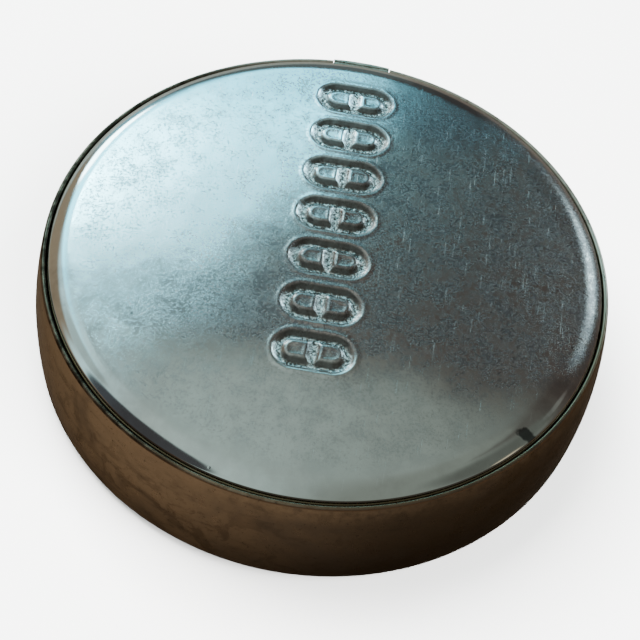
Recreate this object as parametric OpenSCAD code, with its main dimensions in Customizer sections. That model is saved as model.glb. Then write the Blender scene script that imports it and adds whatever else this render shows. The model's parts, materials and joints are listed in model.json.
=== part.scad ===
// Round metal pocket box for pills: a barrel-sided case, a hinged domed lid and an organizer inside.
// The origin is the centre of the resting face, +Z is up and the hinge lies at the +Y side.

/* [Case] */
// Widest outside diameter of the case
case_d = 50; // [48:0.5:52]
// Height of the crown of the case's rounded rim above the resting face
rim_h = 11.7; // [11.3:0.1:12.5]
// Radius of the side wall's barrel curve, seen in section
barrel_r = 34; // [28:1:40]
// Thickness of the case floor
floor_t = 1.0; // [0.8:0.1:1.2]
// Radius of the rounded edge under the case
foot_r = 1.8; // [1.2:0.1:2]
// Radius of the rounded rim
lip_r = 0.25; // [0.22:0.01:0.28]

/* [Sleeve] */
// Thickness of the gilt sleeve inside the case
sleeve_t = 0.45; // [0.4:0.01:0.5]
// How far the sleeve's top edge stands below the rim's crown
sleeve_drop = 0.2; // [0.15:0.01:0.22]

/* [Lid] */
// Radius of the shallow dome's sphere
dome_r = 205; // [195:5:240]
// Radius of the lid's rolled shoulder
shoulder_r = 3; // [2.6:0.1:3.2]
// Slope of the shoulder where it ends at the edge, in degrees
edge_slope = 46; // [42:1:48]
// Thickness of the lid's sheet
lid_t = 0.9; // [0.8:0.05:1]
// Thickness of the gilt lining under the lid
lining_t = 0.35; // [0.3:0.01:0.4]

/* [Marks] */
// Number of pressed marks along the lid
mark_count = 7; // [5:1:7]
// Distance between two marks
mark_pitch = 4.85; // [4.6:0.05:4.9]
// Length of one capsule mark, across the row
mark_l = 6.7; // [6:0.1:7]
// Width of one capsule mark, along the row
mark_w = 3.5; // [3.2:0.1:3.7]
// Width of the pressed groove
groove_w = 0.85; // [0.7:0.05:0.9]
// Depth of the pressed groove
groove_d = 0.45; // [0.3:0.05:0.5]
// Shift of the row's middle towards the hinge
mark_shift = 3.8; // [3:0.1:4]

/* [Divider] */
// Thickness of a divider strip
strip_t = 0.6; // [0.5:0.05:0.8]
// Height of the dividers' middle part above the resting face
strip_top = 10.8; // [10:0.1:10.8]

/* [Hinge] */
// Radius of a hinge knuckle
knuckle_r = 0.8; // [0.75:0.01:0.82]
// Radius of the hinge pin
pin_r = 0.35; // [0.3:0.01:0.38]
// Radial running clearance of the lid's knuckle on the pin
pin_gap = 0.05; // [0.03:0.01:0.08]
// Half of the lid knuckle's length
lid_knuckle_half = 2.6; // [2.4:0.1:2.8]
// Half of the whole hinge's length
hinge_half = 5; // [4.6:0.1:5.2]

/* [Hidden] */

fine = 160;
medium = 48;
dome_fn = 2400;
// Small overlap that keeps cuts and joints clean
eps = 0.01;

case_r = case_d / 2;
// Running gap between lid and case, seen from above as a fine dark line
seam_gap = 0.13;

// Centres of the barrel curve, of the rounded rim and of the rounded lower edge in the section
barrel_z = 5.9;
barrel_x = case_r - barrel_r;
lip_z = rim_h - lip_r;
lip_x = barrel_x + sqrt(pow(barrel_r - lip_r, 2) - pow(lip_z - barrel_z, 2));
foot_x = barrel_x + sqrt(pow(barrel_r - foot_r, 2) - pow(barrel_z - foot_r, 2));
rim_out_r = lip_x + lip_r;

bore_r = lip_x - lip_r;
sleeve_in_r = bore_r - sleeve_t;
sleeve_floor_z = floor_t + sleeve_t;
sleeve_top = rim_h - sleeve_drop;

lid_edge_r = bore_r - seam_gap;
lid_base_z = sleeve_top + seam_gap;
lid_edge_h = 0.2;
shoulder_x = lid_edge_r - shoulder_r * sin(edge_slope);
shoulder_z = lid_base_z + lid_edge_h - shoulder_r * cos(edge_slope);
dome_z = shoulder_z - sqrt(pow(dome_r - shoulder_r, 2) - pow(shoulder_x, 2));
// Radius at which the dome runs into the shoulder
blend_x = shoulder_x * dome_r / (dome_r - shoulder_r);

// The collar under the lid hangs inside the sleeve and leaves a gap for the hinge
collar_out_r = sleeve_in_r - 0.3;
collar_in_r = collar_out_r - 0.4;
collar_half_gap = 42;
collar_bottom = rim_h - 1.55;

axis_y = lip_x + 0.75;
// Low enough for the rim to hide the hinge from the front
axis_z = rim_h - 2.5;
// Everything that belongs to the hinge lies behind this line
back_y = case_r * 0.6;
// Side clearance and clearance under the lid's knuckle in the notch
notch_side = 0.2;
notch_under = 0.3;
notch_half = lid_knuckle_half + notch_side;
// The case leaf is let into the wall and stands a little proud of it
leaf_in_r = case_r - 0.55;
leaf_out_r = case_r + 0.1;
leaf_low = axis_z - 3;
leaf_high = axis_z + 0.5;
// Thickness of the lid leaf's foot under the lid's edge
lid_leaf_foot = 0.5;

// Dividers: clearance at the ends and inside the collar, clearance in the halving slots
strip_low_half = sleeve_in_r - 0.1;
strip_high_half = collar_in_r - 0.7;
strip_slot_gap = 0.02;
strip_half_z = (sleeve_floor_z + strip_top) / 2;

// Snap: a tongue under the collar's front and a low bar on the sleeve above the tongue's bead
tongue_half = 2.5;
tongue_bottom = collar_bottom - 1.15;
bead_out = 0.15;
bead_low = tongue_bottom + 0.2;
bead_h = 0.3;
bar_half = 1.8;
bar_out = 0.1;
bar_low = collar_bottom - 0.2;

// The dividers' ends step in below the tongue
strip_step_z = tongue_bottom - 0.3;

// ---- shared solids ----

module disc(r, z0, z1) {
    translate([0, 0, z0]) cylinder(r = r, h = z1 - z0, $fn = fine);
}

module ring(r_out, r_in, z0, z1) {
    difference() {
        disc(r_out, z0, z1);
        disc(r_in, z0 - 1, z1 + 1);
    }
}

module block(x0, x1, y0, y1, z0, z1) {
    translate([x0, y0, z0]) cube([x1 - x0, y1 - y0, z1 - z0]);
}

module rod_x(r, x0, x1) {
    translate([x0, axis_y, axis_z]) rotate([0, 90, 0]) cylinder(r = r, h = x1 - x0, $fn = medium);
}

// Points along an arc in the section plane
function arc_point(centre, r, angle) = centre + r * [cos(angle), sin(angle)];
function arc(centre, r, from, to, steps) =
    [for (i = [0 : steps]) arc_point(centre, r, from + (to - from) * i / steps)];

// Section of the case: floor, rounded lower edge, barrel wall and rounded rim
module case_section() {
    foot_angle = asin((barrel_z - foot_r) / (barrel_r - foot_r));
    lip_angle = asin((lip_z - barrel_z) / (barrel_r - lip_r));
    polygon(concat(
        [[0, 0]],
        arc([foot_x, foot_r], foot_r, -90, -foot_angle, 8),
        arc([barrel_x, barrel_z], barrel_r, 1 - foot_angle, lip_angle - 1, 11),
        arc([lip_x, lip_z], lip_r, lip_angle, 180, 10),
        [[bore_r, floor_t], [0, floor_t]]
    ));
}

// Notch through rim and sleeve in which the lid's knuckle and leaf swing
module hinge_notch() {
    block(-notch_half, notch_half, back_y, case_r + 1, axis_z - knuckle_r - notch_under, rim_h + 1);
}

// Space of the case's hinge leaf: a curved plate let into the wall
module leaf_bed() {
    intersection() {
        block(-hinge_half, hinge_half, back_y, case_r + 1, leaf_low, leaf_high);
        ring(leaf_out_r, leaf_in_r, 0, rim_h);
    }
}

// ---- case ----

module case_shell() {
    color("saddlebrown") difference() {
        rotate_extrude($fn = fine) case_section();
        hinge_notch();
        leaf_bed();
        rod_x(knuckle_r, -hinge_half, hinge_half);
    }
}

module case_sleeve() {
    color("goldenrod") difference() {
        disc(bore_r, floor_t, sleeve_top);
        disc(sleeve_in_r, sleeve_floor_z, rim_h);
        hinge_notch();
    }
}

module strip_body() {
    block(-strip_low_half, strip_low_half, -strip_t / 2, strip_t / 2, sleeve_floor_z, strip_step_z);
    block(-strip_high_half, strip_high_half, -strip_t / 2, strip_t / 2, strip_step_z - eps, strip_top);
}

// Halving slot that takes the other strip
module strip_slot(z0, z1) {
    half = strip_t / 2 + strip_slot_gap;
    block(-half, half, -strip_t, strip_t, z0, z1);
}

// Runs from the hinge to the front and is slotted from above
module divider_long() {
    color("gold") rotate([0, 0, 90]) difference() {
        strip_body();
        strip_slot(strip_half_z, rim_h);
    }
}

// Runs from side to side and is slotted from below
module divider_short() {
    color("gold") difference() {
        strip_body();
        strip_slot(0, strip_half_z);
    }
}

// One knuckle with the web that ties it to the curved plate
module case_knuckle(x0, x1) {
    difference() {
        union() {
            rod_x(knuckle_r, x0, x1);
            difference() {
                block(x0, x1, back_y, axis_y, axis_z - knuckle_r, leaf_high);
                disc(leaf_in_r, 0, rim_h);
            }
        }
        rod_x(pin_r, x0 - 1, x1 + 1);
    }
}

module hinge_leaf_case() {
    color("peru") {
        difference() {
            leaf_bed();
            hinge_notch();
            rod_x(knuckle_r - eps, -hinge_half - 1, hinge_half + 1);
        }
        case_knuckle(-hinge_half, -notch_half);
        case_knuckle(notch_half, hinge_half);
    }
}

module hinge_pin() {
    color("silver") rod_x(pin_r, -hinge_half, hinge_half);
}

module catch_bar() {
    color("gold") intersection() {
        ring(sleeve_in_r, sleeve_in_r - bar_out, bar_low, bar_low + bead_h);
        block(-bar_half, bar_half, -case_r, -back_y, 0, rim_h);
    }
}

// ---- lid ----

// Everything under the dome's sphere, sunk by the given amount, from floor_z up to the sphere
module ball_cap(sink, floor_z, limit_r) {
    rotate_extrude($fn = fine) intersection() {
        translate([0, dome_z]) circle(r = dome_r - sink, $fn = dome_fn);
        translate([0, floor_z]) square([limit_r, rim_h * 2]);
    }
}

// Ring with the rolled shoulder on its outside
module shoulder_ring() {
    width = lid_edge_r - blend_x + eps;
    rotate_extrude($fn = fine) {
        intersection() {
            translate([shoulder_x, shoulder_z]) circle(r = shoulder_r, $fn = fine);
            translate([blend_x - eps, lid_base_z]) square([width, rim_h]);
        }
        translate([blend_x - eps, lid_base_z]) square([width, lid_edge_h]);
    }
}

module capsule(width) {
    half = (mark_l - mark_w) / 2;
    square([half * 2, width], center = true);
    for (side = [-1, 1]) translate([side * half, 0]) circle(d = width, $fn = 40);
}

// One capsule outline with a score line across its middle
module mark() {
    difference() {
        capsule(mark_w);
        difference() {
            capsule(mark_w - 2 * groove_w);
            square([groove_w, mark_w], center = true);
        }
    }
}

module marks() {
    linear_extrude(height = rim_h * 2) for (i = [0 : mark_count - 1])
        translate([0, mark_shift + (i - (mark_count - 1) / 2) * mark_pitch]) mark();
}

module lid_shell() {
    color("silver") difference() {
        union() {
            ball_cap(0, lid_base_z, blend_x);
            shoulder_ring();
        }
        ball_cap(lid_t, lid_base_z - 1, blend_x);
        difference() {
            marks();
            ball_cap(groove_d, 0, case_r);
        }
    }
}

module lid_lining() {
    color("goldenrod") difference() {
        union() {
            ball_cap(lid_t, lid_base_z - lining_t, blend_x);
            disc(collar_in_r, lid_base_z - lining_t, lid_base_z);
        }
        ball_cap(lid_t + lining_t, lid_base_z - lining_t - 1, blend_x);
    }
}

module lid_collar() {
    half_width = case_d * tan(collar_half_gap);
    color("goldenrod") difference() {
        ring(collar_out_r, collar_in_r, collar_bottom, lid_base_z);
        linear_extrude(height = rim_h * 2)
            polygon([[0, 0], [-half_width, case_d], [half_width, case_d]]);
    }
}

module hinge_leaf_lid() {
    half = lid_knuckle_half;
    color("peru") difference() {
        union() {
            rod_x(knuckle_r, -half, half);
            intersection() {
                union() {
                    block(-half, half, axis_y - knuckle_r, rim_out_r, axis_z, rim_h);
                    block(-half, half, collar_in_r, lip_x, lid_base_z - lid_leaf_foot, lid_base_z);
                }
                disc(rim_out_r, 0, rim_h);
            }
        }
        rod_x(pin_r + pin_gap, -half - 1, half + 1);
    }
}

module catch_tongue() {
    color("gold") intersection() {
        union() {
            ring(collar_out_r, collar_in_r, tongue_bottom, collar_bottom);
            ring(collar_out_r + bead_out, collar_out_r - eps, bead_low, bead_low + bead_h);
        }
        block(-tongue_half, tongue_half, -case_r, -back_y, 0, rim_h);
    }
}

case_shell();
case_sleeve();
divider_long();
divider_short();
hinge_leaf_case();
hinge_pin();
catch_bar();
lid_shell();
lid_lining();
lid_collar();
hinge_leaf_lid();
catch_tongue();
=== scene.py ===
"""Looks of a round hinged pill organizer box: a worn silver lid on a brown tarnished case, gilt inside."""

import json
import math

import bmesh
import bpy
from mathutils import Matrix, Vector, noise


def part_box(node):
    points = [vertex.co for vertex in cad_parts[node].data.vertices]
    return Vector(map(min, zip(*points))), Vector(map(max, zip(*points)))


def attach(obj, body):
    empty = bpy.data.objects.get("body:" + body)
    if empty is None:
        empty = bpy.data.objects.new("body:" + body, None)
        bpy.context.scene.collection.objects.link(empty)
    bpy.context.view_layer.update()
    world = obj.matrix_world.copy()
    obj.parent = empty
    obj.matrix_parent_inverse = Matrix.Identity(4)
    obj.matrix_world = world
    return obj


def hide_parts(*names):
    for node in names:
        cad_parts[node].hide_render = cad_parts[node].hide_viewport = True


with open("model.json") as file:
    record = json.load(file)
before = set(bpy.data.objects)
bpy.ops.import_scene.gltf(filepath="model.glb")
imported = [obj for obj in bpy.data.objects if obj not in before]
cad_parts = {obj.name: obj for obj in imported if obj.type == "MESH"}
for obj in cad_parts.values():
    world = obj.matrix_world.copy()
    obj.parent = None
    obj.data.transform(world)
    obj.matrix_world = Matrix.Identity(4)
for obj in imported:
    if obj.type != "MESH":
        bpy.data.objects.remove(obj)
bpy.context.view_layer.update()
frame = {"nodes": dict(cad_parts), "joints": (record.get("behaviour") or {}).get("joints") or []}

MM = 0.001

# ---- sizes, worked out from the frame ----

_, shell_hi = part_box("case_shell")
sleeve_lo, sleeve_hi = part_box("case_sleeve")
lid_lo, lid_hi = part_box("lid_shell")
lining_lo, lining_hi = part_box("lid_lining")
collar_lo, collar_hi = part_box("lid_collar")
short_lo, short_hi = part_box("divider_short")
long_lo, long_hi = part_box("divider_long")
_, knuckle_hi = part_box("hinge_leaf_lid")
_, leaf_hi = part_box("hinge_leaf_case")
tongue_lo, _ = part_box("catch_tongue")
hinge = Vector(frame["joints"][0]["pos_m"])

CASE_R = shell_hi.x
RIM_Z = shell_hi.z
FLOOR_T = sleeve_lo.z
BORE_R = sleeve_hi.x
LEDGE_Z = sleeve_hi.z
LID_R = lid_hi.x
LID_BASE = lid_lo.z
COLLAR_OUT = collar_hi.x
COLLAR_LOW = collar_lo.z
LINING_R = lining_hi.x
LINING_LOW = lining_lo.z

# Sections: barrel wall, rounded rim and lower edge, lid shoulder and dome
BARREL_R = 34 * MM
BARREL_Z = 5.9 * MM
LIP_R = 0.25 * MM
FOOT_R = 1.8 * MM
SHOULDER_R = 3 * MM
EDGE_SLOPE = math.radians(46)
EDGE_H = 0.2 * MM
DOME_R = 205 * MM
LID_T = 0.9 * MM
SLEEVE_T = 0.45 * MM

# Pressed marks: a row of capsules along Y
MARK_COUNT = 7
MARK_PITCH = 4.85 * MM
MARK_L = 6.7 * MM
MARK_W = 3.5 * MM
MARK_SHIFT = 3.8 * MM
GROOVE_W = 0.85 * MM
GROOVE_D = 0.45 * MM

# Hinge notch in the wall and the sleeve
KNUCKLE_R = 0.8 * MM
NOTCH_HALF = knuckle_hi.x + 0.07 * MM
NOTCH_LOW = hinge.z - KNUCKLE_R - 0.3 * MM

# Half the opening of the collar at the hinge
COLLAR_GAP = math.acos(collar_hi.y / COLLAR_OUT)


# ---- mesh helpers ----

def new_object(name, mesh):
    obj = bpy.data.objects.new(name, mesh)
    bpy.context.scene.collection.objects.link(obj)
    return obj


def finish_mesh(bm, name, sharp_deg=35):
    bmesh.ops.recalc_face_normals(bm, faces=bm.faces)
    mesh = bpy.data.meshes.new(name)
    bm.to_mesh(mesh)
    bm.free()
    mesh.shade_smooth()
    mesh.set_sharp_from_angle(angle=math.radians(sharp_deg))
    return new_object(name, mesh)


def arc(centre, radius, start, stop, steps):
    """Points on an arc in the section plane, both ends included, angles in radians."""
    points = []
    for i in range(steps + 1):
        a = start + (stop - start) * i / steps
        points.append((centre[0] + radius * math.cos(a), centre[1] + radius * math.sin(a)))
    return points


def line(start, stop, steps):
    """Evenly spaced points from start to stop, without the start."""
    return [
        (start[0] + (stop[0] - start[0]) * i / steps, start[1] + (stop[1] - start[1]) * i / steps)
        for i in range(1, steps + 1)
    ]


def revolve(name, section, angles, closed_turn=True, sharp_deg=35):
    """Turns a closed section about Z. Points on the axis become one vertex."""
    bm = bmesh.new()
    on_axis = 1e-7
    columns = []
    centres = {}
    for a in angles:
        column = []
        for k, (r, z) in enumerate(section):
            if r < on_axis:
                if k not in centres:
                    centres[k] = bm.verts.new((0, 0, z))
                column.append(centres[k])
            else:
                column.append(bm.verts.new((r * math.cos(a), r * math.sin(a), z)))
        columns.append(column)
    turns = len(columns) if closed_turn else len(columns) - 1
    for i in range(turns):
        a, b = columns[i], columns[(i + 1) % len(columns)]
        for k in range(len(section)):
            m = (k + 1) % len(section)
            corners = []
            for v in (a[k], b[k], b[m], a[m]):
                if v not in corners:
                    corners.append(v)
            if len(corners) > 2:
                bm.faces.new(corners)
    if not closed_turn:
        bm.faces.new(columns[0])
        bm.faces.new(list(reversed(columns[-1])))
    return finish_mesh(bm, name, sharp_deg)


def full_turn(count):
    return [2 * math.pi * i / count for i in range(count)]


def apply_modifiers(obj, sharp_deg=35):
    """Bakes an object's modifiers into its mesh."""
    graph = bpy.context.evaluated_depsgraph_get()
    baked = bpy.data.meshes.new_from_object(obj.evaluated_get(graph))
    obj.modifiers.clear()
    obj.data = baked
    baked.set_sharp_from_angle(angle=math.radians(sharp_deg))


def cut_box(obj, low, high):
    """Cuts a box out of a mesh."""
    bm = bmesh.new()
    bmesh.ops.create_cube(bm, size=1)
    size = Vector(high) - Vector(low)
    centre = (Vector(high) + Vector(low)) / 2
    for v in bm.verts:
        v.co = Vector((v.co.x * size.x, v.co.y * size.y, v.co.z * size.z)) + centre
    mesh = bpy.data.meshes.new("cutter")
    bm.to_mesh(mesh)
    bm.free()
    cutter = new_object("cutter", mesh)
    cut = obj.modifiers.new("cut", "BOOLEAN")
    cut.operation = "DIFFERENCE"
    cut.solver = "EXACT"
    cut.object = cutter
    apply_modifiers(obj)
    bpy.data.objects.remove(cutter)


def cut_notch(obj):
    """Makes room at the back for the lid's knuckle."""
    cut_box(obj, (-NOTCH_HALF, CASE_R * 0.6, NOTCH_LOW), (NOTCH_HALF, CASE_R + MM, RIM_Z + MM))


def smooth_step(low, high, value):
    t = min(1.0, max(0.0, (value - low) / (high - low)))
    return t * t * (3 - 2 * t)


# ---- node graph helper ----

class Graph:
    """Builds a material's or a world's node tree in a few words."""

    def __init__(self, tree):
        self.tree = tree
        self.tree.nodes.clear()
        self.object_coords = None

    def node(self, kind, **values):
        made = self.tree.nodes.new(kind)
        for key, value in values.items():
            setattr(made, key, value)
        return made

    def put(self, socket, value):
        if isinstance(value, bpy.types.NodeSocket):
            self.tree.links.new(value, socket)
        elif isinstance(value, (tuple, list)) and len(value) == 3 and socket.type == "RGBA":
            socket.default_value = (*value, 1)
        else:
            socket.default_value = value

    def coords(self):
        if self.object_coords is None:
            self.object_coords = self.node("ShaderNodeTexCoord").outputs["Object"]
        return self.object_coords

    def noise(self, size, detail=4, rough=0.55, vector=None, warp=0):
        made = self.node("ShaderNodeTexNoise")
        self.put(made.inputs["Vector"], vector or self.coords())
        made.inputs["Scale"].default_value = 1 / size
        made.inputs["Detail"].default_value = detail
        made.inputs["Roughness"].default_value = rough
        made.inputs["Distortion"].default_value = warp
        return made.outputs["Fac"]

    def cells(self, size):
        made = self.node("ShaderNodeTexVoronoi")
        self.put(made.inputs["Vector"], self.coords())
        made.inputs["Scale"].default_value = 1 / size
        return made.outputs["Distance"]

    def stretch(self, scale, turn=(0, 0, 0)):
        made = self.node("ShaderNodeMapping")
        self.put(made.inputs["Vector"], self.coords())
        made.inputs["Rotation"].default_value = turn
        made.inputs["Scale"].default_value = scale
        return made.outputs["Vector"]

    def math(self, kind, a, b=0.0, clamp=False):
        made = self.node("ShaderNodeMath", operation=kind, use_clamp=clamp)
        self.put(made.inputs[0], a)
        self.put(made.inputs[1], b)
        return made.outputs[0]

    def add(self, a, b):
        return self.math("ADD", a, b)

    def sub(self, a, b):
        return self.math("SUBTRACT", a, b)

    def mul(self, a, b):
        return self.math("MULTIPLY", a, b)

    def flip(self, value):
        return self.sub(1.0, value)

    def swing(self, value, span):
        """Moves a value of 0 to 1 to swing about 0 by half the span to each side."""
        return self.mul(self.sub(value, 0.5), span)

    def remap(self, value, low, high, to_low=0.0, to_high=1.0):
        made = self.node("ShaderNodeMapRange", interpolation_type="SMOOTHSTEP")
        self.put(made.inputs["Value"], value)
        for key, number in (("From Min", low), ("From Max", high), ("To Min", to_low), ("To Max", to_high)):
            self.put(made.inputs[key], number)
        return made.outputs["Result"]

    def mix(self, factor, a, b):
        made = self.node("ShaderNodeMix", data_type="RGBA")
        self.put(made.inputs["Factor"], factor)
        self.put(made.inputs[6], a)
        self.put(made.inputs[7], b)
        return made.outputs[2]

    def split(self, vector):
        made = self.node("ShaderNodeSeparateXYZ")
        self.put(made.inputs[0], vector)
        return made.outputs

    def length_xy(self, centre=(0, 0), scale=(1, 1)):
        """Distance from the axis, or from a line parallel to it, with X and Y scaled."""
        moved = self.node("ShaderNodeVectorMath", operation="SUBTRACT")
        self.put(moved.inputs[0], self.coords())
        moved.inputs[1].default_value = (*centre, 0)
        made = self.node("ShaderNodeVectorMath", operation="MULTIPLY")
        self.put(made.inputs[0], moved.outputs[0])
        made.inputs[1].default_value = (*scale, 0)
        length = self.node("ShaderNodeVectorMath", operation="LENGTH")
        self.put(length.inputs[0], made.outputs[0])
        return length.outputs["Value"]

    def bump(self, height, depth, normal=None):
        made = self.node("ShaderNodeBump")
        made.inputs["Strength"].default_value = 1.0
        made.inputs["Distance"].default_value = depth
        self.put(made.inputs["Height"], height)
        if normal is not None:
            self.put(made.inputs["Normal"], normal)
        return made.outputs["Normal"]

    def attribute(self, name):
        return self.node("ShaderNodeAttribute", attribute_name=name).outputs["Fac"]

    def metal(self, color, rough, normal=None):
        shader = self.node("ShaderNodeBsdfPrincipled")
        shader.inputs["Metallic"].default_value = 1.0
        self.put(shader.inputs["Base Color"], color)
        self.put(shader.inputs["Roughness"], rough)
        if normal is not None:
            self.put(shader.inputs["Normal"], normal)
        out = self.node("ShaderNodeOutputMaterial")
        self.put(out.inputs["Surface"], shader.outputs[0])
        return shader


def new_material(name):
    made = bpy.data.materials.new(name)
    made.use_nodes = True
    return made, Graph(made.node_tree)


def dress(obj, made):
    obj.data.materials.clear()
    obj.data.materials.append(made)


# ---- materials ----

# Clean and tarnished silver also carry a painted reflection: pale blue where clean, darker where tarnished
CLEAN_SILVER_AND_BLUE_REFLECTION = (0.70, 0.90, 0.95)
TARNISHED_SILVER_AND_DARK_REFLECTION = (0.285, 0.235, 0.215)
# Smoother silver: partly a painted greenish reflection
SMOOTHER_SILVER_AND_GREEN_REFLECTION = (0.56, 0.62, 0.585)
HAZE_DARK = (0.13, 0.105, 0.105)
HAZE_LIGHT = (0.19, 0.155, 0.15)
BACK_HAZE = (0.34, 0.45, 0.50)
CORNER_TARNISH = (0.12, 0.095, 0.10)
SMUDGE = (0.30, 0.37, 0.40)
DARK_FLECK = (0.085, 0.078, 0.082)
BRIGHT_FLECK = (0.46, 0.42, 0.42)
PIT = (0.04, 0.04, 0.04)
BLOT = (0.03, 0.035, 0.035)
GROOVE_SILVER = (0.80, 0.83, 0.80)
# Groove walls: a painted highlight on the walls facing +Y, painted shade on the walls facing -Y
GROOVE_LIT_WALL = (0.93, 0.95, 0.95)
GROOVE_SHADED_WALL = (0.04, 0.037, 0.032)
GROOVE_DIRT = (0.05, 0.046, 0.038)

BRONZE_RIGHT = (0.08, 0.068, 0.052)
# Painted light: the case wall is painted lighter towards -X
BRONZE_LEFT_PAINTED_LIGHT = (0.36, 0.295, 0.215)
BRONZE_CLOUD = (0.11, 0.10, 0.09)
BRONZE_STREAK = (0.05, 0.045, 0.04)
BRONZE_STAIN = (0.085, 0.068, 0.052)
# Painted shade low down on the case wall
BRONZE_LOW_SHADE = (0.06, 0.052, 0.045)
BRONZE_RIM = (0.40, 0.32, 0.225)
# Crest of the rim: rubbed, lighter towards the back, with a painted dark reflection to the -X side
CREST_NEAR = (0.15, 0.10, 0.065)
CREST_FAR = (0.42, 0.36, 0.29)
CREST_LEFT_DARK_REFLECTION = (0.025, 0.019, 0.014)
BRONZE_SPECK = (0.035, 0.03, 0.027)
BRONZE_EDGE_TINT = (0.5, 0.46, 0.42)

GILT_STAIN = (0.30, 0.19, 0.09)
TURNED_LINE = 0.22 * MM

# Painted shade in the seam between lid and case, with a painted dark reflection: darkest round the -X side
SEAM_SIDE = -12 * MM
SEAM_FRONT = -4 * MM


class SilverZones:
    """How worn the plate is across the lid, from 0 to 1; the same zones place the painted reflections."""

    def __init__(self, g):
        x, y, _ = g.split(g.coords())
        self.x, self.y = x, y
        self.radius = g.length_xy()
        self.cloud = g.noise(8 * MM, 4, 0.6, warp=0.5)
        self.mottle = g.noise(1.9 * MM, 5, 0.62)
        # Clean on the far -X part, tarnished on the rest; both colours also carry a painted reflection,
        # pale blue on the -X part and darker on the rest
        drift = g.sub(x, g.mul(y, 0.55))
        drift = g.add(drift, g.swing(self.cloud, 9 * MM))
        self.side = g.remap(drift, -10.5 * MM, -1.5 * MM)
        # A smoother strip at -Y, its greenish grey colour partly a painted reflection
        near = g.remap(g.add(y, g.swing(self.cloud, 4 * MM)), -8.5 * MM, -14 * MM)
        self.near = g.mul(near, g.remap(x, -19 * MM, -9 * MM, 0.35))
        # Satin top and polished shoulder; at the far right the shoulder is as worn as the top
        ragged_radius = g.add(self.radius, g.mul(self.mottle, 5 * MM))
        satin = g.flip(g.remap(ragged_radius, LID_R - 0.8 * MM, LID_R + 2.4 * MM))
        right = g.mul(g.remap(x, 7 * MM, 14 * MM), g.remap(y, -11 * MM, -6 * MM))
        self.satin = g.math("MAXIMUM", satin, g.mul(right, 0.8))
        self.polish = g.mul(g.remap(self.radius, 0.89 * LID_R, 0.95 * LID_R), g.flip(right))
        dirty = g.add(g.mul(self.side, 0.75), g.remap(self.cloud, 0.44, 0.62, 0.05, 0.25))
        self.dirty = g.mul(dirty, g.flip(g.mul(self.near, 0.75)))


def silver_tarnish(g, zones, color):
    """Cloudy tarnish: haze, a dull back edge, a dark corner at the back and a smudge at the left."""
    haze = g.mul(g.mul(g.remap(zones.mottle, 0.35, 0.65), zones.dirty), 0.65)
    color = g.mix(haze, color, g.mix(zones.cloud, HAZE_DARK, HAZE_LIGHT))
    back = g.remap(g.add(zones.y, g.swing(zones.mottle, 9 * MM)), 13 * MM, 19 * MM)
    color = g.mix(g.mul(back, 0.5), color, BACK_HAZE)
    ragged = g.swing(zones.mottle, 8 * MM)
    corner = g.add(g.length_xy((0.34 * LID_R, 0.8 * LID_R)), ragged)
    color = g.mix(g.remap(corner, 7.5 * MM, 3 * MM, 0.0, 0.6), color, CORNER_TARNISH)
    smudge = g.add(g.length_xy((-0.58 * LID_R, -0.30 * LID_R), (0.5, 1.2)), ragged)
    return g.mix(g.remap(smudge, 6.5 * MM, 2 * MM, 0.0, 0.5), color, SMUDGE)


def silver_flecks(g, zones, color):
    """Fine dark and bright flecks, pits and one blot. Also returns the dark flecks and the pits."""
    flecks = g.add(g.noise(0.24 * MM, 6, 0.75), g.mul(zones.dirty, 0.10))
    flecks = g.add(flecks, g.swing(zones.mottle, 0.3))
    where = g.math("SUBTRACT", zones.satin, g.mul(zones.near, 0.7), clamp=True)
    flecks = g.mul(g.remap(flecks, 0.51, 0.66), where)
    color = g.mix(g.mul(flecks, g.add(0.34, g.mul(zones.side, 0.32))), color, DARK_FLECK)
    bright = g.mul(g.remap(g.noise(0.3 * MM, 6, 0.75), 0.50, 0.68), g.mul(zones.side, zones.satin))
    bright = g.mul(bright, g.sub(0.26, g.mul(zones.near, 0.24)))
    color = g.mix(bright, color, BRIGHT_FLECK)
    pits = g.mul(g.remap(g.cells(2.1 * MM), 0.07, 0.02), g.remap(g.noise(4 * MM, 2), 0.48, 0.56))
    color = g.mix(g.mul(pits, zones.satin), color, PIT)
    blot = g.length_xy((0.762 * LID_R, -0.605 * LID_R), (0.7, 1.3))
    blot = g.add(blot, g.mul(g.noise(1.0 * MM, 3), 1.6 * MM))
    color = g.mix(g.remap(blot, 1.5 * MM, 1.2 * MM, 0.0, 0.85), color, BLOT)
    return color, flecks, pits


def silver_scratches(g, zones):
    """Fine straight scratches in two directions, on the satin part only."""
    one = g.remap(g.noise(1.0, 2, 0.5, g.stretch((9000, 240, 0), (0, 0, 0.5))), 0.69, 0.74)
    other = g.remap(g.noise(1.0, 2, 0.5, g.stretch((8000, 200, 0), (0, 0, -0.9))), 0.70, 0.75)
    return g.mul(g.math("MAXIMUM", one, other), zones.satin)


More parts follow.
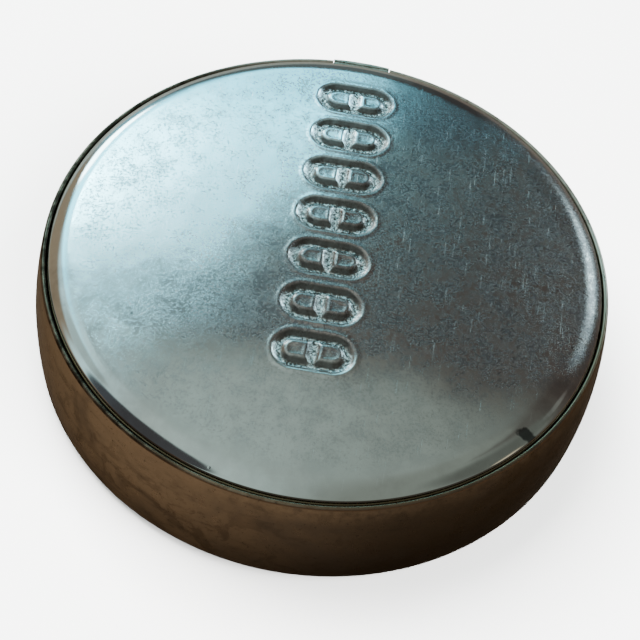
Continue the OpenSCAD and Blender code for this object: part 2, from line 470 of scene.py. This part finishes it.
def silver_material():
    """Worn silver plate: dark specks and cloudy tarnish, a polished shoulder, dirt in the grooves, painted
    reflections across the plate, painted light and shade on the groove walls and painted shade along the
    seam.
    """
    made, g = new_material("worn_silver")
    zones = SilverZones(g)
    # Painted reflection along with the tarnish: pale blue silver on the -X part, darker silver on the rest
    color = g.mix(zones.side, CLEAN_SILVER_AND_BLUE_REFLECTION, TARNISHED_SILVER_AND_DARK_REFLECTION)
    # Painted reflection: the smoother -Y strip is painted a lighter greenish grey
    color = g.mix(g.mul(zones.near, 0.7), color, SMOOTHER_SILVER_AND_GREEN_REFLECTION)
    color = silver_tarnish(g, zones, color)
    color, flecks, pits = silver_flecks(g, zones, color)

    groove = g.attribute("groove")
    lean = g.attribute("lean")
    grit = g.noise(0.22 * MM, 4, 0.7)
    dirt = g.mul(g.remap(groove, 0.45, 0.95), g.remap(grit, 0.45, 0.55, 0.9, 0.0))
    color = g.mix(g.mul(groove, 0.6), color, GROOVE_SILVER)
    # Painted light on the groove walls: a painted highlight where they face +Y, painted shade where they
    # face -Y
    color = g.mix(g.remap(lean, -0.1, -0.6, 0.0, 0.9), color, GROOVE_LIT_WALL)
    color = g.mix(g.remap(lean, 0.1, 0.7, 0.0, 0.85), color, GROOVE_SHADED_WALL)
    color = g.mix(dirt, color, GROOVE_DIRT)
    # Painted shade along the lid's edge at the seam, with a painted dark reflection round the -X side
    seam = g.remap(zones.radius, LID_R - 0.1 * MM, LID_R - 0.04 * MM)
    front = g.remap(zones.x, SEAM_SIDE, SEAM_FRONT)
    color = g.mix(g.mul(seam, 0.9), color, g.mix(front, (0.03, 0.03, 0.03), (0.16, 0.14, 0.11)))

    rough = g.add(g.remap(zones.mottle, 0.3, 0.7, 0.15, 0.22), g.mul(flecks, 0.1))
    rough = g.mul(rough, g.remap(zones.polish, 0, 1, 1.0, 0.5))
    rough = g.math("SUBTRACT", rough, g.mul(groove, 0.06), clamp=True)
    normal = g.bump(g.noise(6 * MM, 2), 0.05 * MM)
    normal = g.bump(g.flip(g.math("MAXIMUM", flecks, pits)), 0.0035 * MM, normal)
    normal = g.bump(g.flip(silver_scratches(g, zones)), 0.0035 * MM, normal)
    normal = g.bump(g.mul(groove, grit), 0.1 * MM, normal)
    g.metal(color, rough, normal)
    return made


def bronze_material():
    """Brown tarnish on the case wall, painted lighter to the -X side, with painted shade low down and along
    the seam, warmer along the rim, and a painted dark reflection on the crest to the -X side.
    """
    made, g = new_material("brown_tarnish")
    x, y, z = g.split(g.coords())
    cloud = g.noise(8 * MM, 5, 0.6, warp=0.7)
    blotch = g.noise(1.5 * MM, 6, 0.68)
    streak = g.noise(1.0, 5, 0.6, g.stretch((240, 240, 900)))
    # Painted light: lighter brown towards the -X side
    left = g.remap(g.sub(g.mul(y, -0.3), x), -4 * MM, 22 * MM)
    color = g.mix(left, BRONZE_RIGHT, BRONZE_LEFT_PAINTED_LIGHT)
    color = g.mix(g.mul(g.remap(cloud, 0.42, 0.68), 0.5), color, BRONZE_CLOUD)
    color = g.mix(g.mul(g.remap(streak, 0.5, 0.7), 0.35), color, BRONZE_STREAK)
    stains = g.remap(g.noise(2.4 * MM, 6, 0.72, warp=1.2), 0.5, 0.6)
    stains = g.mul(stains, g.remap(z, RIM_Z - 1.5 * MM, RIM_Z - 6 * MM, 0.1, 0.5))
    color = g.mix(stains, color, BRONZE_STAIN)
    # Painted shade: darker low down near the floor, less on the -X side
    low = g.mul(g.remap(z, 8.5 * MM, 1.5 * MM), g.sub(0.6, g.mul(left, 0.3)))
    color = g.mix(low, color, BRONZE_LOW_SHADE)
    margin = g.remap(z, RIM_Z - 2.6 * MM, RIM_Z - 0.3 * MM)
    warm = g.mul(margin, g.remap(x, 12 * MM, -4 * MM, 0.3, 1.0))
    color = g.mix(g.mul(warm, g.remap(blotch, 0.38, 0.62, 0.15, 0.7)), color, BRONZE_RIM)
    # Rubbed crest of the rim, lighter towards the back, with a painted dark reflection to the -X side
    crest = g.remap(z, RIM_Z - 0.3 * MM, RIM_Z - 0.16 * MM)
    worn = g.mix(g.remap(y, -4 * MM, 8 * MM), CREST_NEAR, CREST_FAR)
    worn = g.mix(g.remap(x, -6 * MM, -16 * MM, 0.0, 0.95), worn, CREST_LEFT_DARK_REFLECTION)
    color = g.mix(g.mul(crest, g.remap(blotch, 0.35, 0.6, 0.6, 1.0)), color, worn)
    specks = g.remap(g.noise(0.3 * MM, 5, 0.75), 0.6, 0.68)
    color = g.mix(g.mul(specks, 0.6), color, BRONZE_SPECK)
    # Painted shade along the seam under the lid's edge, with a painted dark reflection round the -X side
    seam = g.remap(g.length_xy(), BORE_R + 0.12 * MM, BORE_R + 0.03 * MM)
    front = g.remap(x, SEAM_SIDE, SEAM_FRONT)
    color = g.mix(g.mul(seam, 0.8), color, g.mix(front, (0.03, 0.022, 0.015), (0.13, 0.10, 0.07)))
    rough = g.remap(blotch, 0.3, 0.7, 0.26, 0.42)
    rough = g.math("ADD", rough, g.mul(specks, 0.15), clamp=True)
    normal = g.bump(cloud, 0.02 * MM)
    normal = g.bump(blotch, 0.01 * MM, normal)
    shader = g.metal(color, rough, normal)
    shader.inputs["Specular Tint"].default_value = (*BRONZE_EDGE_TINT, 1)
    return made


def gilt_material(name, color_a, color_b, spun):
    """Satin gilt sheet, with fine turned lines where the sheet was spun."""
    made, g = new_material(name)
    cloud = g.noise(5 * MM, 4, 0.6)
    color = g.mix(g.remap(cloud, 0.3, 0.7), color_a, color_b)
    stain = g.remap(g.noise(1.3 * MM, 6, 0.7), 0.55, 0.72)
    color = g.mix(g.mul(stain, 0.5), color, GILT_STAIN)
    # Painted shade on the gilt close to the bore's edge, in the gap where the sleeve meets the case wall
    seam = g.remap(g.length_xy(), BORE_R - 0.28 * MM, BORE_R - 0.12 * MM)
    color = g.mix(g.mul(seam, 0.9), color, (0.03, 0.025, 0.02))
    rough = g.remap(g.noise(2 * MM, 4), 0.3, 0.7, 0.22, 0.36)
    normal = g.bump(g.noise(0.5 * MM, 3), 0.004 * MM)
    if spun:
        rings = g.math("SINE", g.mul(g.length_xy(), 2 * math.pi / TURNED_LINE))
        normal = g.bump(rings, 0.0012 * MM, normal)
    else:
        grain = g.noise(1.0, 3, 0.5, g.stretch((300, 300, 9000)))
        normal = g.bump(grain, 0.004 * MM, normal)
    g.metal(color, rough, normal)
    return made


def steel_material():
    """Drawn steel wire with its grain along X."""
    made, g = new_material("drawn_wire")
    grain = g.noise(1.0, 3, 0.5, g.stretch((200, 6000, 6000)))
    color = g.mix(g.remap(grain, 0.3, 0.7), (0.36, 0.35, 0.33), (0.58, 0.57, 0.55))
    g.metal(color, g.remap(grain, 0.3, 0.7, 0.28, 0.45), g.bump(grain, 0.01 * MM))
    return made


# ---- pieces ----

def case_section():
    barrel_x = CASE_R - BARREL_R
    lip_z = RIM_Z - LIP_R
    lip_x = barrel_x + math.sqrt((BARREL_R - LIP_R) ** 2 - (lip_z - BARREL_Z) ** 2)
    foot_x = barrel_x + math.sqrt((BARREL_R - FOOT_R) ** 2 - (BARREL_Z - FOOT_R) ** 2)
    foot_angle = math.asin((BARREL_Z - FOOT_R) / (BARREL_R - FOOT_R))
    lip_angle = math.asin((lip_z - BARREL_Z) / (BARREL_R - LIP_R))
    points = [(0, 0)] + line((0, 0), (foot_x, 0), 10)
    points += arc((foot_x, FOOT_R), FOOT_R, -math.pi / 2, -foot_angle, 14)[1:]
    points += arc((barrel_x, BARREL_Z), BARREL_R, -foot_angle, lip_angle, 30)[1:]
    points += arc((lip_x, lip_z), LIP_R, lip_angle, math.pi, 12)[1:]
    points += line((lip_x - LIP_R, lip_z), (lip_x - LIP_R, FLOOR_T), 10)
    points += line((lip_x - LIP_R, FLOOR_T), (0, FLOOR_T), 6)
    return points


def make_case_wall():
    wall = revolve("case_wall", case_section(), full_turn(288))
    # A soft hand-worked waviness that fades out at the rim and under the case
    for v in wall.data.vertices:
        radius = math.hypot(v.co.x, v.co.y)
        if radius > BORE_R + 0.1 * MM and v.co.z < RIM_Z - 2 * LIP_R:
            fade = smooth_step(0, 2 * MM, v.co.z) * smooth_step(RIM_Z - 0.6 * MM, RIM_Z - 3 * MM, v.co.z)
            wave = noise.noise(v.co / (7 * MM)) * 0.03 * MM * fade
            v.co.x *= 1 + wave / radius
            v.co.y *= 1 + wave / radius
    cut_notch(wall)
    return wall


def make_sleeve():
    inner = BORE_R - SLEEVE_T
    floor = FLOOR_T + SLEEVE_T
    corner = 1.1 * MM
    edge = SLEEVE_T * 0.45
    section = [(0, FLOOR_T)] + line((0, FLOOR_T), (BORE_R, FLOOR_T), 8)
    section += line((BORE_R, FLOOR_T), (BORE_R, LEDGE_Z - edge), 4)
    section += arc((BORE_R - edge, LEDGE_Z - edge), edge, 0, math.pi / 2, 5)[1:]
    section += arc((inner + edge, LEDGE_Z - edge), edge, math.pi / 2, math.pi, 5)
    section += line((inner, LEDGE_Z - edge), (inner, floor + corner), 6)
    section += arc((inner - corner, floor + corner), corner, 0, -math.pi / 2, 10)[1:]
    section += line((inner - corner, floor), (0, floor), 12)
    sleeve = revolve("case_sleeve_cup", section, full_turn(240))
    cut_notch(sleeve)
    return sleeve


def lid_heights():
    """Centres of the shoulder and the dome in the section, and the radius where they meet."""
    shoulder_x = LID_R - SHOULDER_R * math.sin(EDGE_SLOPE)
    shoulder_z = LID_BASE + EDGE_H - SHOULDER_R * math.cos(EDGE_SLOPE)
    dome_z = shoulder_z - math.sqrt((DOME_R - SHOULDER_R) ** 2 - shoulder_x ** 2)
    return shoulder_x, shoulder_z, dome_z, shoulder_x * DOME_R / (DOME_R - SHOULDER_R)


def segment_distance(x, y, ax, ay, bx, by):
    along = ((x - ax) * (bx - ax) + (y - ay) * (by - ay)) / ((bx - ax) ** 2 + (by - ay) ** 2)
    along = min(1.0, max(0.0, along))
    return math.hypot(x - ax - along * (bx - ax), y - ay - along * (by - ay))


def mark_distance(x, y):
    """Distance from the nearest pressed line: a capsule outline or its score line."""
    row = round((y - MARK_SHIFT) / MARK_PITCH)
    row = min(MARK_COUNT // 2, max(-(MARK_COUNT // 2), row))
    y -= MARK_SHIFT + row * MARK_PITCH
    half = (MARK_L - MARK_W) / 2
    ring = (MARK_W - GROOVE_W) / 2
    outline = abs(segment_distance(x, y, -half, 0, half, 0) - ring)
    score = segment_distance(x, y, 0, -ring, 0, ring)
    return min(outline, score)


def groove_at(x, y):
    """Depth of the pressed groove, from 0 to 1, and the height of the burr beside it."""
    if abs(x) > MARK_L / 2 + MM or abs(y - MARK_SHIFT) > MARK_COUNT * MARK_PITCH / 2 + MM:
        return 0.0, 0.0
    wobble = noise.noise(Vector((x, y, 0)) / (0.9 * MM)) * 0.05 * MM
    d = mark_distance(x, y) + wobble
    half = GROOVE_W / 2
    deep = 1 - smooth_step(half - 0.42 * MM, half + 0.18 * MM, d)
    burr = math.exp(-(((d - half - 0.3 * MM) / (0.17 * MM)) ** 2))
    return deep, burr


def lid_angles():
    """Angles round the lid, closer together where the row of marks crosses."""
    quarter = []
    angle = 0.0
    step_size = 0.12 * MM
    while angle < math.pi / 2:
        quarter.append(angle)
        angle += max(step_size * math.sin(max(angle, 0.17)) / (MARK_L / 2), 0.004)
    scale = (math.pi / 2) / angle
    quarter = [a * scale for a in quarter]
    turn = []
    for k in range(4):
        start = math.pi / 2 * (k + 1)
        if k % 2 == 0:
            turn += [start + a for a in quarter]
        else:
            turn += [start] + [start + math.pi / 2 - a for a in reversed(quarter[1:])]
    return sorted(set(round(a % (2 * math.pi), 9) for a in turn))


def make_lid():
    shoulder_x, shoulder_z, dome_z, blend_r = lid_heights()
    fine_end = MARK_SHIFT + MARK_COUNT * MARK_PITCH / 2 - 0.4 * MM
    top = [(0.0, dome_z + DOME_R)]
    rings = int(fine_end / (0.13 * MM))
    for i in range(1, rings + 1):
        r = fine_end * i / rings
        top.append((r, dome_z + math.sqrt(DOME_R ** 2 - r * r)))
    for i in range(1, 6):
        r = fine_end + (blend_r - fine_end) * i / 5
        top.append((r, dome_z + math.sqrt(DOME_R ** 2 - r * r)))
    tilt = math.asin(blend_r / DOME_R)
    top += arc((shoulder_x, shoulder_z), SHOULDER_R, math.pi / 2 - tilt, math.pi / 2 - EDGE_SLOPE, 22)[1:]
    edge = 0.07 * MM
    section = top[:-1]
    section += arc((LID_R - edge, LID_BASE + EDGE_H - edge), edge, math.pi / 2 - EDGE_SLOPE, 0, 4)
    section += arc((LID_R - edge, LID_BASE + edge), edge, 0, -math.pi / 2, 4)
    under_r = math.sqrt((DOME_R - LID_T) ** 2 - (LID_BASE - dome_z) ** 2)
    section += line((LID_R - edge, LID_BASE), (under_r, LID_BASE), 4)
    for i in range(1, 9):
        r = under_r * (1 - i / 8)
        section.append((r, dome_z + math.sqrt((DOME_R - LID_T) ** 2 - r * r)))
    lid = revolve("lid_dome", section, lid_angles(), sharp_deg=50)
    middle_z = LID_BASE + EDGE_H
    step = 0.2 * MM
    amounts, leans = [], []
    for v in lid.data.vertices:
        deep = lean = 0.0
        radius = math.hypot(v.co.x, v.co.y)
        on_top = v.co.z > dome_z + math.sqrt(DOME_R ** 2 - radius * radius) - 0.3 * MM
        if radius < fine_end + MM and on_top:
            deep, burr = groove_at(v.co.x, v.co.y)
            # Which way a groove wall faces along Y; the silver material paints light and shade from it
            lean = groove_at(v.co.x, v.co.y - step)[0] - groove_at(v.co.x, v.co.y + step)[0]
            grain = noise.noise(v.co / (0.45 * MM)) * 0.08 * MM
            grain += noise.noise(v.co / (0.25 * MM)) * 0.05 * MM
            v.co.z += burr * 0.04 * MM * (1 - deep) - deep * (GROOVE_D - 0.06 * MM - grain)
        if v.co.z > middle_z and on_top:
            v.co.z += noise.noise(v.co / (9 * MM)) * 0.02 * MM * smooth_step(LID_R, 0.8 * LID_R, radius)
        amounts.append(deep)
        leans.append(lean)
    for name, values in (("groove", amounts), ("lean", leans)):
        lid.data.attributes.new(name, "FLOAT", "POINT").data.foreach_set("value", values)
    return lid


def make_lining():
    """Gilt sheet under the lid with a shallow stamped ring and a rolled edge."""
    _, _, dome_z, _ = lid_heights()
    sheet = LID_BASE - LINING_LOW
    outer_r = DOME_R - LID_T
    inner_r = outer_r - sheet
    edge = sheet * 0.45
    section = []
    steps = 28
    flat_r = math.sqrt(outer_r ** 2 - (LID_BASE - dome_z) ** 2)
    for i in range(steps + 1):
        r = flat_r * i / steps
        section.append((r, dome_z + math.sqrt(outer_r ** 2 - r * r)))
    section += line((flat_r, LID_BASE), (LINING_R - edge, LID_BASE), 2)
    section += arc((LINING_R - edge, LID_BASE - edge), edge, math.pi / 2, 0, 4)[1:]
    section += arc((LINING_R - edge, LINING_LOW + edge), edge, 0, -math.pi / 2, 4)
    low_r = math.sqrt(inner_r ** 2 - (LINING_LOW - dome_z) ** 2)
    ring_r = LINING_R * 0.8
    for i in range(60):
        r = low_r * (1 - i / 60)
        bead = math.exp(-(((r - ring_r) / (0.35 * MM)) ** 2)) * 0.12 * MM
        section.append((r, dome_z + math.sqrt(inner_r ** 2 - r * r) - bead))
    section.append((0, dome_z + inner_r))
    return revolve("lid_lining_sheet", section, full_turn(192))


def make_collar():
    """Open band under the lid with a rounded lower edge."""
    inner = LINING_R
    edge = (COLLAR_OUT - inner) * 0.45
    section = [(COLLAR_OUT, LID_BASE)] + line((COLLAR_OUT, LID_BASE), (COLLAR_OUT, COLLAR_LOW + edge), 4)
    section += arc((COLLAR_OUT - edge, COLLAR_LOW + edge), edge, 0, -math.pi / 2, 5)[1:]
    section += arc((inner + edge, COLLAR_LOW + edge), edge, -math.pi / 2, -math.pi, 5)
    section += line((inner, COLLAR_LOW + edge), (inner, LID_BASE), 4)
    steps = 160
    start = math.pi / 2 + COLLAR_GAP
    stop = math.pi * 5 / 2 - COLLAR_GAP
    angles = [start + (stop - start) * i / steps for i in range(steps + 1)]
    return revolve("lid_collar_band", section, angles, closed_turn=False)


def make_strip(name, low, high, slot_from_top):
    """A divider strip with stepped ends, a halving slot and softly rounded edges, standing along X."""
    length = max(high.x - low.x, high.y - low.y) / 2
    thickness = min(high.x - low.x, high.y - low.y)
    narrow = LINING_R - 0.7 * MM
    step_z = tongue_lo.z - 0.3 * MM
    middle = (low.z + high.z) / 2
    slot = thickness / 2 + 0.02 * MM
    foot = 0.5 * MM
    outline = [(-length, low.z), (length, low.z), (length, step_z - foot), (length - foot, step_z)]
    outline += [(narrow, step_z), (narrow, high.z - foot), (narrow - foot, high.z)]
    if slot_from_top:
        outline += [(slot, high.z), (slot, middle), (-slot, middle), (-slot, high.z)]
    outline += [(-narrow + foot, high.z), (-narrow, high.z - foot), (-narrow, step_z)]
    outline += [(-length + foot, step_z), (-length, step_z - foot)]
    if not slot_from_top:
        slot_points = [(-slot, low.z), (-slot, middle), (slot, middle), (slot, low.z)]
        outline = slot_points + outline[1:] + outline[:1]
    bm = bmesh.new()
    front = [bm.verts.new((x, -thickness / 2, z)) for x, z in outline]
    face = bm.faces.new(front)
    extruded = bmesh.ops.extrude_face_region(bm, geom=[face])
    moved = [v for v in extruded["geom"] if isinstance(v, bmesh.types.BMVert)]
    bmesh.ops.translate(bm, verts=moved, vec=(0, thickness, 0))
    strip = finish_mesh(bm, name)
    if high.y - low.y > high.x - low.x:
        strip.data.transform(Matrix.Rotation(math.pi / 2, 4, "Z"))
    bevel = strip.modifiers.new("edge", "BEVEL")
    bevel.width = 0.09 * MM
    bevel.segments = 3
    apply_modifiers(strip)
    return strip


def make_pin_head(name, side):
    """The peened end of the hinge pin."""
    radius = 0.5 * MM
    section = [(0, 0), (radius, 0)] + arc((0, 0), radius, 0.15, math.pi / 2, 8)[:-1]
    section.append((0, radius * 0.55))
    section = [(r, z * 0.55) for r, z in section]
    head = revolve(name, section, full_turn(32), sharp_deg=60)
    turn = Matrix.Rotation(side * math.pi / 2, 4, "Y")
    place = Matrix.Translation(Vector((side * leaf_hi.x, hinge.y, hinge.z)))
    head.data.transform(place @ turn)
    return head


# ---- build ----

silver = silver_material()
bronze = bronze_material()
gilt = gilt_material("satin_gilt", (0.86, 0.64, 0.32), (0.92, 0.74, 0.42), True)
gilt_strip = gilt_material("gilt_strip", (0.82, 0.62, 0.32), (0.90, 0.73, 0.44), False)
steel = steel_material()

case_wall = make_case_wall()
dress(case_wall, bronze)
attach(case_wall, "case")
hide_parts("case_shell")

sleeve = make_sleeve()
dress(sleeve, gilt)
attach(sleeve, "case")
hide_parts("case_sleeve")

long_strip = make_strip("divider_long_strip", long_lo, long_hi, True)
dress(long_strip, gilt_strip)
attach(long_strip, "case")
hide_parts("divider_long")

short_strip = make_strip("divider_short_strip", short_lo, short_hi, False)
dress(short_strip, gilt_strip)
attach(short_strip, "case")
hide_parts("divider_short")

lid = make_lid()
dress(lid, silver)
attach(lid, "lid")
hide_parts("lid_shell")

lining = make_lining()
dress(lining, gilt)
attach(lining, "lid")
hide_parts("lid_lining")

collar = make_collar()
dress(collar, gilt)
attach(collar, "lid")
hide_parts("lid_collar")

for side, name in ((-1, "pin_head_left"), (1, "pin_head_right")):
    head = make_pin_head(name, side)
    dress(head, steel)
    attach(head, "case")

for node_name, made in (
    ("hinge_leaf_case", bronze),
    ("hinge_pin", steel),
    ("catch_bar", gilt_strip),
    ("hinge_leaf_lid", bronze),
    ("catch_tongue", gilt_strip),
):
    dress(frame["nodes"][node_name], made)

# ---- stage, light and camera ----

FLOOR_HALF = 4.0
FLOOR_PALE = ((0.86, 0.86, 0.86), (0.89, 0.89, 0.89))
FLOOR_MIRRORED = (0.05, 0.037, 0.027)

LIGHT_SIZE = 0.5
LIGHT_COLOR = (1.0, 0.99, 0.97)

# Colours of the surroundings that the metal mirrors; above 1 they are light sources
SKY_SEEN = (1.1, 1.12, 1.14)
OVERHEAD_LEFT = (0.84, 1.04, 1.02)
OVERHEAD_RIGHT = (0.38, 0.42, 0.385)
LOW_FAR_LEFT = (0.34, 0.22, 0.14)
LOW_REST = (0.18, 0.175, 0.16)
PALE_BOX = (1.1, 3.6, 4.3)

# Round patches: direction, inner and outer angle in degrees, colour. Later ones lie over earlier ones.
PATCHES_BEHIND_BOX = (
    ((-0.70, -0.48, 0.53), 21, 26, (0.10, 0.10, 0.11)),
    ((-0.72, 0.14, 0.68), 8, 13, (0.55, 0.62, 0.58)),
)
PATCHES_OVER_BOX = (
    ((-0.49, 0.80, 0.34), 6, 9, (10.0, 11.5, 11.5)),
    ((-0.24, 0.71, 0.66), 2, 6, (4.5, 8.5, 9.5)),
    ((-0.31, 0.65, 0.69), 2, 5, (8.0, 14.0, 15.0)),
    ((-0.08, 0.55, 0.83), 2, 6, (0.24, 0.26, 0.25)),
    ((0.60, 0.70, 0.40), 5, 13, (7.0, 11.5, 13.0)),
    ((0.84, 0.18, 0.50), 3, 7, (0.42, 0.46, 0.44)),
    ((0.80, -0.18, 0.58), 10, 26, (0.20, 0.215, 0.195)),
    ((0.91, -0.24, 0.34), 3, 7, (1.3, 1.1, 0.8)),
)


def floor_material():
    """Pale to the camera; the metal mirrors it as a brown table."""
    made, g = new_material("pale_floor")
    shade = g.mix(g.noise(0.08, 3), *FLOOR_PALE)
    shader = g.node("ShaderNodeBsdfPrincipled")
    mirrored = g.node("ShaderNodeLightPath").outputs["Is Glossy Ray"]
    g.put(shader.inputs["Base Color"], g.mix(mirrored, shade, FLOOR_MIRRORED))
    shader.inputs["Roughness"].default_value = 0.7
    out = g.node("ShaderNodeOutputMaterial")
    g.put(out.inputs["Surface"], shader.outputs[0])
    return made


def make_floor():
    bm = bmesh.new()
    bmesh.ops.create_grid(bm, x_segments=8, y_segments=8, size=FLOOR_HALF)
    mesh = bpy.data.meshes.new("floor")
    bm.to_mesh(mesh)
    bm.free()
    floor = new_object("floor", mesh)
    floor.data.materials.append(floor_material())


def area_light(name, place, power):
    """A soft box for the floor; the metal reflects the world's soft patches instead."""
    data = bpy.data.lights.new(name, "AREA")
    data.energy = power
    data.color = LIGHT_COLOR
    data.size = LIGHT_SIZE
    light = new_object(name, data)
    light.location = place
    light.rotation_euler = (Vector((0, 0, RIM_Z)) - Vector(place)).to_track_quat("-Z", "Y").to_euler()
    light.visible_glossy = False
    return light


def add_patches(g, way, shade, patches):
    """Lays round patches over the shade, each fading out from its inner to its outer angle."""
    for aim, inner, outer, color in patches:
        made = g.node("ShaderNodeVectorMath", operation="DOT_PRODUCT")
        g.put(made.inputs[0], way)
        made.inputs[1].default_value = Vector(aim).normalized()
        low, high = math.cos(math.radians(outer)), math.cos(math.radians(inner))
        shade = g.mix(g.remap(made.outputs["Value"], low, high), shade, color)
    return shade


def make_world():
    """Soft surroundings: a large pale box at the back left, greys overhead, dim to the right."""
    world = bpy.data.worlds.new("studio")
    bpy.context.scene.world = world
    world.use_nodes = True
    g = Graph(world.node_tree)
    way = g.node("ShaderNodeTexCoord").outputs["Generated"]
    x, y, z = g.split(way)
    # The pale box ends along a curve: further to the left the higher or lower it reaches
    rise = g.math("MAXIMUM", g.sub(z, 0.58), 0.0)
    fall = g.math("MAXIMUM", g.sub(0.60, z), 0.0)
    bend = g.add(x, g.mul(g.mul(rise, rise), 5.0))
    bend = g.add(bend, g.mul(fall, 0.8))
    left = g.remap(bend, 0.09, 0.01)
    behind = g.remap(y, -0.05, 0.2)
    overhead = g.mix(g.remap(x, -0.3, 0.3), OVERHEAD_LEFT, OVERHEAD_RIGHT)
    shade = g.mix(g.remap(x, -0.62, -0.5), LOW_FAR_LEFT, LOW_REST)
    high = g.math("MAXIMUM", g.remap(z, 0.84, 0.89), g.mul(left, g.remap(z, 0.45, 0.6)))
    high = g.math("MAXIMUM", high, g.mul(g.flip(behind), g.remap(z, 0.2, 0.4)))
    shade = g.mix(high, shade, overhead)
    shade = add_patches(g, way, shade, PATCHES_BEHIND_BOX)
    box = g.mul(g.mul(left, behind), g.remap(x, -0.64, -0.52))
    box = g.mul(box, g.mul(g.remap(z, 0.16, 0.6, 0.1), g.remap(z, 0.84, 0.56)))
    shade = g.mix(box, shade, PALE_BOX)
    shade = add_patches(g, way, shade, PATCHES_OVER_BOX)
    seen = g.node("ShaderNodeLightPath").outputs["Is Camera Ray"]
    shade = g.mix(seen, shade, SKY_SEEN)
    back = g.node("ShaderNodeBackground")
    g.put(back.inputs["Color"], shade)
    out = g.node("ShaderNodeOutputWorld")
    g.put(out.inputs["Surface"], back.outputs[0])


CAMERA_DISTANCE = 0.17
CAMERA_ELEVATION = math.radians(51.36)
CAMERA_PAN = math.radians(0.07)
CAMERA_TILT = math.radians(1.64)
CAMERA_ROLL = math.radians(9.65)
CAMERA_LENS = 111.0


def make_camera():
    data = bpy.data.cameras.new("camera")
    data.lens = CAMERA_LENS
    data.sensor_width = 36
    data.clip_start = 0.01
    data.clip_end = 10
    camera = new_object("camera", data)
    target = Vector((0, 0, RIM_Z + 0.1 * MM))
    back = Vector((0, -math.cos(CAMERA_ELEVATION), math.sin(CAMERA_ELEVATION)))
    camera.location = target + back * CAMERA_DISTANCE
    down = CAMERA_ELEVATION + CAMERA_TILT
    level = math.cos(down)
    ahead = Vector((math.sin(CAMERA_PAN) * level, math.cos(CAMERA_PAN) * level, -math.sin(down)))
    aim = ahead.to_track_quat("-Z", "Y").to_matrix().to_4x4()
    camera.matrix_world = Matrix.Translation(camera.location) @ aim @ Matrix.Rotation(CAMERA_ROLL, 4, "Z")
    bpy.context.scene.camera = camera


make_floor()
make_world()
area_light("key", (-0.25, 0.2, 0.6), 30)
area_light("fill", (0.35, -0.3, 0.5), 20)
make_camera()
